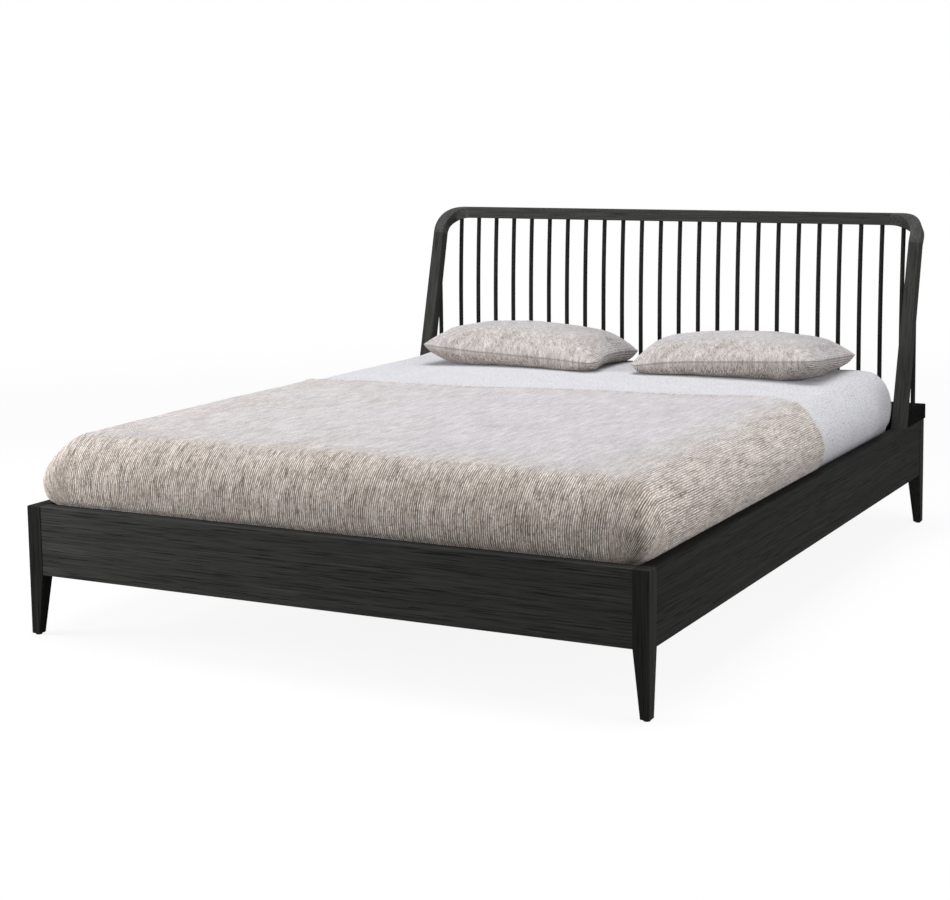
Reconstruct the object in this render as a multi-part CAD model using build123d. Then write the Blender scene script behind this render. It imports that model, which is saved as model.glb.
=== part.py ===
from build123d import *
from math import asin, atan2, cos, hypot, pi, sin, sqrt, tan
import os

os.makedirs("parts", exist_ok=True)

# Frame: X across the bed, +Y from the foot to the head, +Z up, origin on the floor
# under the middle of the bed. Millimetres.

# Overall
bed_width = 1700
bed_length = 2220
wood_fit = 0.2
soft_gap = 0.3

# Legs
leg_side = 40
foot_side = 23
leg_arris = 2.5
foot_arris = 3
glide_diameter = 16
glide_height = 3

# Rails round the mattress
rail_top = 334
rail_height = 177
rail_thickness = 38
rail_setback = 1
rail_arris = 1.5
tenon_thickness = 12
tenon_height = 130
tenon_length = 24

# Corner plates that draw the side rails to the legs
plate_thickness = 3
plate_height = 60
plate_flange = 34
plate_rise = 22
plate_reach = 78
plate_screw_spread = 34
hanger_diameter = 8
hanger_grip = 24
hanger_stub = 5
nut_width = 13
nut_height = 8

# Wood screws
screw_diameter = 4
screw_head_diameter = 8
screw_head_height = 2.5
plate_screw_length = 25
ledger_screw_length = 46

# Headboard base, a board lying flat over the rear ends of the side rails; it and the hoop
# stand a little past the rails
headboard_overhang = 5
base_depth = 195
base_thickness = 46
base_arris = 2.5

# Hoop: a straight top rail, two twisted corners and two leaning posts
hoop_top = 978
hoop_side = 37
hoop_arris = 3
hoop_rear_gap = 2
post_foot_width = 43
corner_run = 92
corner_drop = 71
corner_forward = 57
corner_sections = 9

# Spindles
spindle_count = 24
spindle_end_gap = 53.45
spindle_diameter = 14
spindle_inset = 36
spindle_knee = 560
spindle_tenon = 8
spindle_tenon_length = 18
end_spindle_forward = 48

# Dowels
dowel_diameter = 10
dowel_length = 40
post_dowel_spread = 16
base_dowel_spread = 80
back_dowel_steps = (4, 9)

# Slatted bottom
ledger_height = 30
ledger_thickness = 24
ledger_drop = 82
ledger_screws = 7
slat_width = 70
slat_thickness = 18
slat_count = 15
slat_end_gap = 4
slat_margin = 20

# Centre beam, its two stirrups and two legs
beam_width = 45
beam_height = 60
beam_end_gap = 1
stirrup_plate = 3
stirrup_depth = 40
stirrup_height = 48
centre_leg_side = 38
centre_leg_inset = 420

# Bedding
mattress_side_gap = 11
mattress_foot_gap = 14
mattress_height = 230
mattress_corner = 70
mattress_edge = 42
sheet_thickness = 1.5
sheet_low = 25
blanket_thickness = 7
blanket_low = 40
blanket_hem_back = 690
blanket_slant = 75
pillow_depth = 395
pillow_rise = 88
pillow_belly = 50
pillow_draw = 22
pillow_seam = 3
pillow_sink = 8
pillow_side_gap = 141
pillow_middle_gap = 116
pillow_head_gap = 5
pillow_turn = -3

# How far the corner's curve runs straight on from each end, of its run and its drop
bend_pull_share = (1.15, 0.3)

# Where the sections of a pillow stand along its half width, and how full each one is
pillow_place_share = (0, 0.45, 0.8, 0.94, 1)
pillow_full_share = (1, 0.93, 0.62, 0.3, 0)

# Derived places
half_width = bed_width / 2
y_head = bed_length / 2
rail_bottom = rail_top - rail_height
end_rail_span = bed_width - 2 * leg_side
side_rail_span = bed_length - 2 * leg_side
rail_middle = half_width - rail_setback - rail_thickness / 2
inner_half = half_width - rail_setback - rail_thickness
y_inner = y_head - rail_setback - rail_thickness
base_top = rail_top + base_thickness
base_front = y_head - base_depth
base_middle = y_head - base_depth / 2
base_width = bed_width + 2 * headboard_overhang
hoop_half = base_width / 2
hoop_centre = hoop_top - hoop_side / 2
hoop_under = hoop_top - hoop_side
hoop_y = y_head - hoop_rear_gap - hoop_side / 2
spindle_y = y_head - spindle_inset
ledger_top = rail_top - ledger_drop
slat_top = ledger_top + slat_thickness
plate_bottom = rail_bottom + plate_rise
plate_middle = plate_bottom + plate_height / 2
mattress_bottom = slat_top + soft_gap
mattress_top = mattress_bottom + mattress_height
mattress_width = 2 * (inner_half - mattress_side_gap)
mattress_rear = base_front - 2 * soft_gap - sheet_thickness
mattress_length = mattress_rear + y_inner - mattress_foot_gap
mattress_y = mattress_rear - mattress_length / 2
pillow_width = (mattress_width - pillow_middle_gap) / 2 - pillow_side_gap
sheet_grow = soft_gap + sheet_thickness
blanket_gap = sheet_grow + soft_gap
overrun = leg_side

# The post leans back past the heel, the top front arris of the headboard base
post_top = Vector(hoop_half - hoop_side / 2, hoop_y - corner_forward, hoop_centre - corner_drop)
heel_run = post_top.Y - base_front + wood_fit
heel_rise = post_top.Z - base_top
post_lean = atan2(heel_run, heel_rise) + asin(hoop_side / 2 / hypot(heel_run, heel_rise))
post_foot_y = post_top.Y - (post_top.Z - rail_top) * tan(post_lean)
post_foot = Vector(hoop_half - post_foot_width / 2, post_foot_y, rail_top)
post_axis = (post_top - post_foot).normalized()
top_rail_half = post_top.X - corner_run
spindle_pitch = 2 * (post_top.X - spindle_end_gap) / (spindle_count - 1)


def export(shape, name):
    """Write one sub-part to its own file."""
    shape.label = name
    export_step(shape, f"parts/{name}.step")


def export_group(solids, name):
    """Write separate like pieces to one file."""
    export(Compound(children=[solid for piece in solids for solid in piece.solids()]), name)


def block(x_size, y_size, z_size, x, y, z):
    """A block by its size, the middle of its base and its base height."""
    seat = (Align.CENTER, Align.CENTER, Align.MIN)
    return Pos(x, y, z) * Box(x_size, y_size, z_size, align=seat)


def rod(start, direction, diameter, length):
    """A round bar from a point along a direction."""
    return extrude(Plane(origin=start, z_dir=direction) * Circle(diameter / 2), amount=length)


def mirrored(shape):
    """The same piece on the other side of the bed."""
    return mirror(shape, about=Plane.YZ)


# Dowels and screws, each also made as its own hole by giving it a clearance

def dowel(centre, direction, clearance=0):
    """A dowel half in each of the two pieces that meet at a point."""
    length = dowel_length + 2 * clearance
    start = Vector(centre) - Vector(direction).normalized() * (length / 2)
    return rod(start, direction, dowel_diameter + 2 * clearance, length)


def post_dowels(clearance=0):
    """Two upright dowels under the right post's foot."""
    places = (post_foot_y - post_dowel_spread / 2, post_foot_y + post_dowel_spread / 2)
    return [dowel((rail_middle, y, rail_top), (0, 0, 1), clearance) for y in places]


def base_side_dowels(clearance=0):
    """Two upright dowels between the right side rail and the headboard base."""
    places = (base_middle - base_dowel_spread / 2, base_middle + base_dowel_spread / 2)
    return [dowel((rail_middle, y, rail_top), (0, 0, 1), clearance) for y in places]


def base_back_dowels(clearance=0):
    """Upright dowels between the head rail and the base, each midway between spindles."""
    y = y_head - rail_setback - rail_thickness / 2
    places = [side * step * spindle_pitch for side in (-1, 1) for step in back_dowel_steps]
    return [dowel((x, y, rail_top), (0, 0, 1), clearance) for x in places]


def top_rail_dowel(clearance=0):
    """The dowel between the top rail and the right corner."""
    return dowel((top_rail_half, hoop_y, hoop_centre), (1, 0, 0), clearance)


def post_top_dowel(clearance=0):
    """The dowel between the right corner and the right post."""
    return dowel(post_top, post_axis, clearance)


def screw(seat, direction, length):
    """A pan-head wood screw whose head bears on a seat and whose shank runs on from it."""
    way = Vector(direction)
    head = rod(Vector(seat) - way * screw_head_height, way, screw_head_diameter, screw_head_height)
    return head + rod(seat, way, screw_diameter, length)


def screw_hole(seat, direction, length):
    """The hole that a screw's shank fills."""
    return rod(seat, direction, screw_diameter + wood_fit, length + wood_fit)


def plate_screw_seats(x_side, y_side):
    """Seats and directions of a corner plate's four screws."""
    along = plate_reach + plate_flange / 2
    heights = (plate_middle - plate_screw_spread / 2, plate_middle + plate_screw_spread / 2)
    side_x = x_side * (inner_half - plate_thickness)
    end_y = y_side * (y_inner - plate_thickness)
    on_side = [((side_x, y_side * (y_inner - along), z), (x_side, 0, 0)) for z in heights]
    on_end = [((x_side * (inner_half - along), end_y, z), (0, y_side, 0)) for z in heights]
    return on_side, on_end


def ledger_screw_seats():
    """Seats of the screws that hold the right ledger to its rail."""
    half_span = ledger_span / 2 - ledger_height
    step = 2 * half_span / (ledger_screws - 1)
    x = inner_half - ledger_thickness
    z = ledger_top - ledger_height / 2
    return [((x, i * step - half_span, z), (1, 0, 0)) for i in range(ledger_screws)]


ledger_span = 2 * (y_inner - plate_reach - plate_flange - screw_head_diameter)
corners = [(x_side, y_side) for x_side in (-1, 1) for y_side in (-1, 1)]


# Frame

def leg(x_side, y_side):
    """A square leg, flush outside, tapered below the rails on its two inner faces."""
    shift = (leg_side - foot_side) / 2
    lower_face = Pos(x_side * shift, y_side * shift, glide_height) * Rectangle(foot_side, foot_side)
    upper_face = Pos(0, 0, rail_bottom) * Rectangle(leg_side, leg_side)
    body = loft([lower_face, upper_face], ruled=True)
    body += block(leg_side, leg_side, rail_height, 0, 0, rail_bottom)
    body = fillet(body.edges().group_by(Axis.Z)[-1], leg_arris)
    body = fillet(body.edges().group_by(Axis.Z)[0], foot_arris)
    x = x_side * (half_width - leg_side / 2)
    y = y_side * (y_head - leg_side / 2)
    body = Pos(x, y, 0) * body
    body -= end_rail_tenon(x_side, y_side, wood_fit)
    return body - hanger_rod(x_side, y_side, wood_fit)


def end_rail_tenon(x_side, y_side, clearance=0):
    """A tenon of the foot or head rail, or its mortise when it has clearance."""
    length = tenon_length + clearance
    x = x_side * (end_rail_span + length) / 2
    y = y_side * (y_head - rail_setback - rail_thickness / 2)
    z = rail_bottom + (rail_height - tenon_height) / 2 - clearance
    return block(length, tenon_thickness + 2 * clearance, tenon_height + 2 * clearance, x, y, z)


def end_rail(y_side):
    """The foot rail or the head rail, tenoned into its two legs."""
    y = y_side * (y_head - rail_setback - rail_thickness / 2)
    body = block(end_rail_span, rail_thickness, rail_height, 0, y, rail_bottom)
    body = fillet(body.edges().filter_by(Axis.X), rail_arris)
    body += end_rail_tenon(1, y_side) + end_rail_tenon(-1, y_side)
    for x_side in (-1, 1):
        body -= hanger_rod(x_side, y_side, wood_fit)
        for seat, way in plate_screw_seats(x_side, y_side)[1]:
            body -= screw_hole(seat, way, plate_screw_length)
    return body


def head_rail():
    """The hidden rail between the rear legs, doweled to the base above it."""
    body = end_rail(1)
    for pin in base_back_dowels(wood_fit / 2):
        body -= pin
    return body


def side_rail():
    """The right side rail, bored for its dowels and screws."""
    body = block(rail_thickness, side_rail_span, rail_height, rail_middle, 0, rail_bottom)
    body = fillet(body.edges().filter_by(Axis.Y), rail_arris)
    for pin in post_dowels(wood_fit / 2) + base_side_dowels(wood_fit / 2):
        body -= pin
    body -= hanger_rod(1, 1, wood_fit)
    body -= hanger_rod(1, -1, wood_fit)
    seats = plate_screw_seats(1, 1)[0] + plate_screw_seats(1, -1)[0]
    for seat, way in seats:
        body -= screw_hole(seat, way, plate_screw_length)
    for seat, way in ledger_screw_seats():
        body -= screw_hole(seat, way, ledger_screw_length)
    return body


def corner_plate(x_side, y_side):
    """A steel plate bent across the inside corner, with a flange on each rail."""
    web = plate_reach + plate_thickness * (sqrt(2) - 1)
    end = plate_reach + plate_flange
    t = plate_thickness
    outline = [(0, end), (0, plate_reach), (plate_reach, 0), (end, 0)]
    outline += [(end, t), (web, t), (t, web), (t, end)]
    points = [(x_side * (inner_half - u), y_side * (y_inner - v), plate_bottom) for u, v in outline]
    face = make_face(Polyline(*points, close=True))
    plate = extrude(face, amount=plate_height, dir=(0, 0, 1))
    on_side, on_end = plate_screw_seats(x_side, y_side)
    for seat, way in on_side + on_end:
        plate -= screw_hole(seat, way, plate_screw_length)
    return plate - hanger_rod(x_side, y_side, wood_fit)


def hanger_way(x_side, y_side):
    """The level direction from a leg's inner corner towards the middle of the bed."""
    return Vector(-x_side, -y_side, 0).normalized()


def leg_corner(x_side, y_side):
    """The leg's inner corner at the height of the corner plate's bolt."""
    x = x_side * (half_width - leg_side)
    y = y_side * (y_head - leg_side)
    return Vector(x, y, plate_middle)


def web_distance():
    """From a leg's inner corner to the near face of the corner plate's web."""
    return (plate_reach - 2 * (leg_side - rail_setback - rail_thickness)) / sqrt(2)


def hanger_rod(x_side, y_side, clearance=0):
    """The hanger bolt from inside the leg through the plate, or its hole."""
    way = hanger_way(x_side, y_side)
    start = leg_corner(x_side, y_side) - way * (hanger_grip + clearance)
    beyond = plate_thickness + nut_height + hanger_stub
    length = hanger_grip + clearance + web_distance() + beyond
    return rod(start, way, hanger_diameter + 2 * clearance, length)


def hanger_nut(x_side, y_side):
    """The nut that draws the leg to the corner plate."""
    way = hanger_way(x_side, y_side)
    seat = leg_corner(x_side, y_side) + way * (web_distance() + plate_thickness)
    plane = Plane(origin=seat, x_dir=(0, 0, 1), z_dir=way)
    flats = extrude(plane * RegularPolygon(nut_width / 2, 6, major_radius=False), amount=nut_height)
    return flats - hanger_rod(x_side, y_side, wood_fit)


def headboard_base():
    """The wide board that carries the spindles."""
    body = block(base_width, base_depth, base_thickness, 0, base_middle, rail_top)
    body = fillet(body.edges(), base_arris)
    for place in spindle_places():
        body -= spindle_foot_tenon(place, wood_fit / 2)
    sides = base_side_dowels(wood_fit / 2)
    pins = sides + [mirrored(pin) for pin in sides] + base_back_dowels(wood_fit / 2)
    for pin in pins:
        body -= pin
    return body


# Hoop

def hoop_section(point, along, face):
    """The hoop's rounded square section, square to its run, with one side facing a way."""
    turned = face - along * face.dot(along)
    plane = Plane(origin=point, x_dir=turned, z_dir=along)
    return plane * RectangleRounded(hoop_side, hoop_side, hoop_arris)


def top_rail():
    """The straight top rail, bored below for the spindles and at its ends for dowels."""
    start = Vector(-top_rail_half, hoop_y, hoop_centre)
    body = extrude(hoop_section(start, Vector(1, 0, 0), Vector(0, 0, 1)), amount=2 * top_rail_half)
    for x in row_places()[1:-1]:
        body -= Pos(x, 0, 0) * spindle_head_tenon(wood_fit / 2)
    pin = top_rail_dowel(wood_fit / 2)
    return body - pin - mirrored(pin)


def hoop_corner():
    """The right corner: it turns down and forwards while its top face turns to the front."""
    start = Vector(top_rail_half, hoop_y, hoop_centre)
    start_pull = start + Vector(bend_pull_share[0] * corner_run, 0, 0)
    end_pull = post_top + post_axis * bend_pull_share[1] * corner_drop
    bend = Bezier(start, start_pull, end_pull, post_top)
    full_turn = pi / 2 - post_lean
    sections = []
    for i in range(corner_sections):
        t = i / (corner_sections - 1)
        turn = full_turn * t * t * (3 - 2 * t)
        face = Vector(0, -sin(turn), cos(turn))
        sections.append(hoop_section(bend @ t, bend % t, face))
    body = loft(sections) - Pos(row_places()[-1], 0, 0) * spindle_head_tenon(wood_fit / 2)
    return body - top_rail_dowel(wood_fit / 2) - post_top_dowel(wood_fit / 2)


def post_form():
    """The right post without its holes, wider at its foot than at the corner."""
    front = Vector(0, -cos(post_lean), sin(post_lean))
    above = Plane(origin=post_top, x_dir=front, z_dir=post_axis)
    below = Plane(origin=post_foot - post_axis * overrun, x_dir=front, z_dir=post_axis)
    top_face = above * RectangleRounded(hoop_side, hoop_side, hoop_arris)
    foot_face = below * RectangleRounded(hoop_side, post_foot_width, hoop_arris)
    body = loft([foot_face, top_face], ruled=True)
    side = 2 * overrun
    return body - block(side, side, side, post_foot.X, post_foot.Y, rail_top - side)


def hoop_post():
    """The right post, bored for its dowels."""
    body = post_form()
    for pin in post_dowels(wood_fit / 2):
        body -= pin
    return body - post_top_dowel(wood_fit / 2)


# Spindles

def row_places():
    """Places of the spindles of the straight row, across the bed."""
    middle = (spindle_count - 1) / 2
    return [(i - middle) * spindle_pitch for i in range(spindle_count)]


def end_spindle_y():
    """The two end spindles stand forward of the row, behind the posts."""
    return spindle_y - end_spindle_forward


def spindle_places():
    """The foot of every spindle, from left to right."""
    row = [Vector(x, spindle_y, base_top) for x in row_places()]
    ends = [Vector(side * post_top.X, end_spindle_y(), base_top) for side in (-1, 1)]
    return [ends[0], *row, ends[1]]


def spindle_foot_tenon(place, clearance=0):
    """The round tenon under a spindle's foot."""
    length = spindle_tenon_length + clearance
    return rod(place, (0, 0, -1), spindle_tenon + 2 * clearance, length)


def spindle_line():
    """The middle line of a row spindle: upright, then curving back to the top rail."""
    foot = Vector(0, spindle_y, base_top)
    knee = Vector(0, spindle_y, spindle_knee)
    head = Vector(0, hoop_y, hoop_under)
    upright = Line(foot, knee)
    return upright, TangentArc(knee, head, tangent=(0, 0, 1))


def spindle_head_tenon(clearance=0):
    """The round tenon at a row spindle's top, in line with its curve."""
    sweep_arc = spindle_line()[1]
    way = sweep_arc % 1
    start = sweep_arc @ 1 - way * spindle_diameter
    length = spindle_diameter + spindle_tenon_length + clearance
    return rod(start, way, spindle_tenon + 2 * clearance, length)


def row_spindle(x, hoop_part):
    """A spindle of the row, its top cut to the part of the hoop above it."""
    upright, sweep_arc = spindle_line()
    beyond = Line(sweep_arc @ 1, sweep_arc @ 1 + sweep_arc % 1 * spindle_diameter)
    section = Plane(origin=upright @ 0, z_dir=(0, 0, 1)) * Circle(spindle_diameter / 2)
    body = Pos(x, 0, 0) * sweep(section, path=Wire([upright, sweep_arc, beyond]))
    body = (body - hoop_part).solids().sort_by(SortBy.VOLUME)[-1]
    body += Pos(x, 0, 0) * spindle_head_tenon()
    return body + spindle_foot_tenon(Vector(x, spindle_y, base_top))


def end_spindle():
    """The right end spindle, upright, its top cut to the back of the post."""
    foot = spindle_places()[-1]
    reach = (end_spindle_y() - post_foot.Y) / tan(post_lean) + rail_top
    body = rod(foot, (0, 0, 1), spindle_diameter, reach - base_top)
    return body - post_form() + spindle_foot_tenon(foot)


# Slatted bottom

def ledger():
    """The right cleat that carries the slats."""
    x = inner_half - ledger_thickness / 2
    body = block(ledger_thickness, ledger_span, ledger_height, x, 0, ledger_top - ledger_height)
    for seat, way in ledger_screw_seats():
        body -= screw_hole(seat, way, ledger_screw_length)
    return body


def slats():
    """Evenly spaced slats from the foot rail to the headboard base."""
    first = slat_margin + slat_width / 2 - y_inner
    last = base_front - slat_width / 2
    step = (last - first) / (slat_count - 1)
    slat = block(2 * (inner_half - slat_end_gap), slat_width, slat_thickness, 0, first, ledger_top)
    return [Pos(0, i * step, 0) * slat for i in range(slat_count)]


def centre_beam():
    """The beam under the middle of the slats."""
    span = 2 * (y_inner - stirrup_plate - beam_end_gap)
    return block(beam_width, span, beam_height, 0, 0, ledger_top - beam_height)


def stirrup(y_side):
    """A steel stirrup that carries one end of the beam on its end rail."""
    clear = beam_width + 2 * wood_fit
    bottom = ledger_top - beam_height - stirrup_plate
    y = y_side * (y_inner - stirrup_depth / 2)
    body = block(clear + 2 * stirrup_plate, stirrup_depth, stirrup_height, 0, y, bottom)
    hollow_y = y - y_side * stirrup_plate
    hollow = block(clear, stirrup_depth, stirrup_height, 0, hollow_y, bottom + stirrup_plate)
    return body - hollow


def centre_leg(y_side):
    """A leg under the centre beam."""
    height = ledger_top - beam_height - glide_height
    return block(centre_leg_side, centre_leg_side, height, 0, y_side * centre_leg_inset, glide_height)


def glides():
    """A felt glide under each of the six legs."""
    inset = foot_side / 2
    places = [(x_side * (half_width - inset), y_side * (y_head - inset)) for x_side, y_side in corners]
    places += [(0, -centre_leg_inset), (0, centre_leg_inset)]
    return [rod((x, y, 0), (0, 0, 1), glide_diameter, glide_height) for x, y in places]


# Bedding

def mattress_form(grow):
    """The mattress's rounded form, grown on its sides and top."""
    x_size = mattress_width + 2 * grow
    y_size = mattress_length + 2 * grow
    body = block(x_size, y_size, mattress_height + grow, 0, mattress_y, mattress_bottom)
    body = fillet(body.edges().filter_by(Axis.Z), mattress_corner + grow)
    return fillet(body.edges().group_by(Axis.Z)[-1], mattress_edge + grow)


def mattress():
    """The mattress, rounded above and below."""
    body = mattress_form(0)
    return fillet(body.edges().group_by(Axis.Z)[0], mattress_edge / 2)


def cover(gap, thickness, low):
    """A cloth of one thickness over the mattress, ending a little above the mattress's base."""
    body = mattress_form(gap + thickness) - mattress_form(gap)
    return body - block(bed_width, bed_length, low, 0, mattress_y, mattress_bottom)


def blanket():
    """The blanket over the foot of the bed, its head-side hem lying aslant."""
    hem = base_front - blanket_hem_back
    body = cover(blanket_gap, blanket_thickness, blanket_low)
    waste = [(-half_width, hem - blanket_slant), (half_width, hem + blanket_slant)]
    waste += [(half_width, y_head), (-half_width, y_head)]
    return body - extrude(make_face(Polyline(*waste, close=True)), amount=hoop_top)


def pillow_section(place, full):
    """A section across a pillow: a tall arc above the seam and a flatter one below."""
    half_depth = pillow_depth / 2 - pillow_draw * (1 - place * place)
    rise = pillow_seam / 2 + pillow_rise * full
    belly = pillow_seam / 2 + pillow_belly * full
    x = place * pillow_width / 2
    front = Vector(x, -half_depth, 0)
    back = Vector(x, half_depth, 0)
    above = ThreePointArc(front, Vector(x, 0, rise), back)
    below = ThreePointArc(back, Vector(x, 0, -belly), front)
    return make_face([above, below])


def pillow(x_side):
    """A pillow lying on the sheet, cut flat where it rests."""
    right = list(zip(pillow_place_share, pillow_full_share))
    left = [(-place, full) for place, full in reversed(right[1:])]
    body = loft([pillow_section(place, full) for place, full in left + right])
    seam_height = pillow_belly + pillow_seam / 2 - pillow_sink
    body -= block(bed_width, bed_length, pillow_belly, 0, 0, -seam_height - pillow_belly)
    y = base_front - pillow_head_gap - pillow_depth / 2
    z = mattress_top + sheet_grow + soft_gap + seam_height
    x = x_side * (pillow_width + pillow_middle_gap) / 2
    return Pos(x, y, z) * Rot(0, 0, x_side * pillow_turn) * body


def write_frame():
    """Legs, rails, their fittings and the headboard base."""
    names = {(-1, -1): "front_leg_left", (1, -1): "front_leg_right"}
    names.update({(-1, 1): "rear_leg_left", (1, 1): "rear_leg_right"})
    for corner, name in names.items():
        export(leg(*corner), name)
    export(end_rail(-1), "foot_rail")
    export(head_rail(), "head_rail")
    right_rail = side_rail()
    export(right_rail, "side_rail_right")
    export(mirrored(right_rail), "side_rail_left")
    export(headboard_base(), "headboard_base")
    export_group([corner_plate(*corner) for corner in corners], "corner_plates")
    export_group([hanger_rod(*corner) for corner in corners], "hanger_bolts")
    export_group([hanger_nut(*corner) for corner in corners], "hanger_nuts")


def write_fasteners():
    """Screws, dowels and glides, each kind as one group."""
    seats = [plate_screw_seats(*corner) for corner in corners]
    flat = [seat for on_side, on_end in seats for seat in on_side + on_end]
    export_group([screw(seat, way, plate_screw_length) for seat, way in flat], "plate_screws")
    right = [screw(seat, way, ledger_screw_length) for seat, way in ledger_screw_seats()]
    export_group(right + [mirrored(piece) for piece in right], "ledger_screws")
    right = post_dowels() + base_side_dowels() + [top_rail_dowel(), post_top_dowel()]
    export_group(right + [mirrored(pin) for pin in right] + base_back_dowels(), "dowels")
    export_group(glides(), "floor_glides")


def write_headboard():
    """The hoop and its spindles."""
    rail = top_rail()
    export(rail, "top_rail")
    corner = hoop_corner()
    export(corner, "hoop_corner_right")
    export(mirrored(corner), "hoop_corner_left")
    post = hoop_post()
    export(post, "hoop_post_right")
    export(mirrored(post), "hoop_post_left")
    places = row_places()
    middle = row_spindle(places[1], rail)
    row = [Pos(x - places[1], 0, 0) * middle for x in places[1:-1]]
    right = [row_spindle(places[-1], corner), end_spindle()]
    left = [mirrored(piece) for piece in reversed(right)]
    for number, piece in enumerate(left + row + right, start=1):
        export(piece, f"spindle_{number:02d}")


def write_bottom():
    """Everything that carries the mattress."""
    right = ledger()
    export(right, "ledger_right")
    export(mirrored(right), "ledger_left")
    export_group(slats(), "slats")
    export(centre_beam(), "centre_beam")
    export_group([stirrup(-1), stirrup(1)], "beam_stirrups")
    export(centre_leg(-1), "centre_leg_front")
    export(centre_leg(1), "centre_leg_rear")


def write_bedding():
    """The mattress and what lies on it."""
    export(mattress(), "mattress")
    export(cover(soft_gap, sheet_thickness, sheet_low), "fitted_sheet")
    export(blanket(), "blanket")
    export(pillow(-1), "pillow_left")
    export(pillow(1), "pillow_right")


write_frame()
write_fasteners()
write_headboard()
write_bottom()
write_bedding()
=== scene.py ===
import math

import bpy
from mathutils import Matrix, Vector, noise


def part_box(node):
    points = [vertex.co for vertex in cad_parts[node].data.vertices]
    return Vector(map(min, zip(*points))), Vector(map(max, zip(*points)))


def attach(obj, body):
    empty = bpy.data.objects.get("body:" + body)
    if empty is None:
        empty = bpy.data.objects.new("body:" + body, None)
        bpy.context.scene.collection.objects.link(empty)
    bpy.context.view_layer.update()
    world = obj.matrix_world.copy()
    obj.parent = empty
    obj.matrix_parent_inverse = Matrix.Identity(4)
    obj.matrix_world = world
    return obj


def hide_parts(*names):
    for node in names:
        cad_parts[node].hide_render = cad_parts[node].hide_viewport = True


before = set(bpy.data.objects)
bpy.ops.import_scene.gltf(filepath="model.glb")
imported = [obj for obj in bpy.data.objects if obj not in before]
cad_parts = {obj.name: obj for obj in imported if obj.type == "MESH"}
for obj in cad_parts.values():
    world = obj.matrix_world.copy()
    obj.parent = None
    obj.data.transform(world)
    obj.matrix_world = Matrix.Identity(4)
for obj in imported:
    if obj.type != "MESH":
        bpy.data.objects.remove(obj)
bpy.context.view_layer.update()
bpy.context.scene.view_settings.view_transform = "Standard"

# Camera, fitted to the photograph's edges; metres, radians and pixels
image_width_px = 950
camera_place = Vector((2.4131, -4.8083, 1.3114))
camera_yaw = -0.4672
camera_pitch = 0.1217
camera_roll = -0.0109
camera_focal_px = 1924.3
camera_axis_px = (45, 105)
sensor_width = 36
view_depth = 100

# The studio's light as shares of white; the floor fades into it between two distances, metres
studio_level = 0.18
floor_glow = 0.90
floor_bounce = 0.25
floor_fade = (2.2, 6.0)
floor_half = 30
white = (1, 1, 1)

# Lamps: name, place, aim, size in metres and power in watts
lamps = (
    ("top", (0.1, 0.1, 4.2), (0, 0, 0.4), 3.2, 162),
    ("front_left", (-3.3, -2.35, 1.1), (-0.7, -1, 0.4), 1.4, 146),
    ("right", (3.5, -0.6, 1.2), (0.8, -0.2, 0.4), 2.0, 54),
)

# The made bed, metres: its flat top, its widest lines at the side, foot and head, and how its edge falls
bed_top = 0.506
bed_crown = 0.010
widest_side = 0.8455
widest_foot = -1.0853
widest_head = 0.913
edge_run = 0.102
edge_drop = 0.111
edge_power = 1.66
under_power = 1.92
edge_steps = 14
tuck = 0.032
tuck_slip = 0.006
tuck_depth = 0.018
foot_tuck_share = 0.45
rail_clear = 0.0025
head_share = 0.5
corner_power = (1.8, 5.2)

# Flat areas inside those edges, and where the bed narrows between the posts
rail_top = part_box("side_rail_right")[1][2]
mattress_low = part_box("mattress")[0][2]
flat_side = widest_side - edge_run
flat_foot = widest_foot + edge_run
flat_head = widest_head - head_share * edge_run
narrow_from = (0.60, 0.84)
narrow_side = 0.76
narrow_rate = 4.95

# The puffs beside the pillows: height, place and size
puff_height = 0.010
puff_place = (0.69, 0.85)
puff_size = (0.11, 0.10)

# Slight unevenness, each as a height, the length of its waves and a seed
top_waves = (0.0022, 0.35, 3.1)
hem_waves = (0.004, 0.2, 2.3)
blanket_waves = (0.0022, 0.16, 5.7)
blanket_ripples = (0.0008, 0.05, 1.9)
open_and_shade_waves = (0.05, 0.14, 6.1)
seed_step = 1.7

# Lengths under this count as none
tiny = 1e-6

# Layers, by how far each lies inside the blanket's face, the cells of the cloths and how far past the edge
# they reach, in cells
sheet_inset = 0.007
mattress_inset = 0.0105
sheet_cell = 0.02
blanket_cell = 0.012
rim_cells = 1.2

# The mattress: steps round each corner, how it is drawn in at the foot and from which share of its edge, its
# smallest ring, and its lower edge's roll as (back, rise)
ring_steps = 8
ring_tuck = 0.8
ring_tuck_from = 0.7
ring_least = 0.001
mattress_roll = ((0.0, 0.022), (0.003, 0.010), (0.010, 0.003), (0.020, 0.0))

# The blanket's hem: the cloth's length up the bed for its places across, the length that sets the number of
# its rows, the rows close before it, how it is pressed onto the sheet, and the ridge before it
hem_places = (-0.98, -0.40, -0.15, 0.155, 0.455, 0.62, 0.71, 0.77, 0.84, 0.98)
hem_lengths = (0.05, 0.07, 0.09, 0.135, 0.185, 0.24, 0.205, 0.155, 0.125, 0.115)
usual_hem = 0.185
hem_rows = (0.020, 0.013, 0.008, 0.0045, 0.002, 0.0)
hem_thickness = 0.0008
hem_press = 0.009
hem_calm = 0.05
ridge_height = 0.0016
ridge_back = 0.011
ridge_width = 0.006

# Where the blanket's ribs stand open, darker and warmer, partly painted shade of its sides, foot and the
# left of its top: between two distances past the flat area's edge, the left edge's share of them, and pairs
# of how open and over what length, for the bed's sides and for the hem
open_and_shade_from = (-0.18, 0.10)
open_and_shade_left = 0.16
open_and_shade_side = (0.72, 0.45)
open_and_shade_hem = (0.5, 0.10)
rib_pitch = 0.0056
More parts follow.
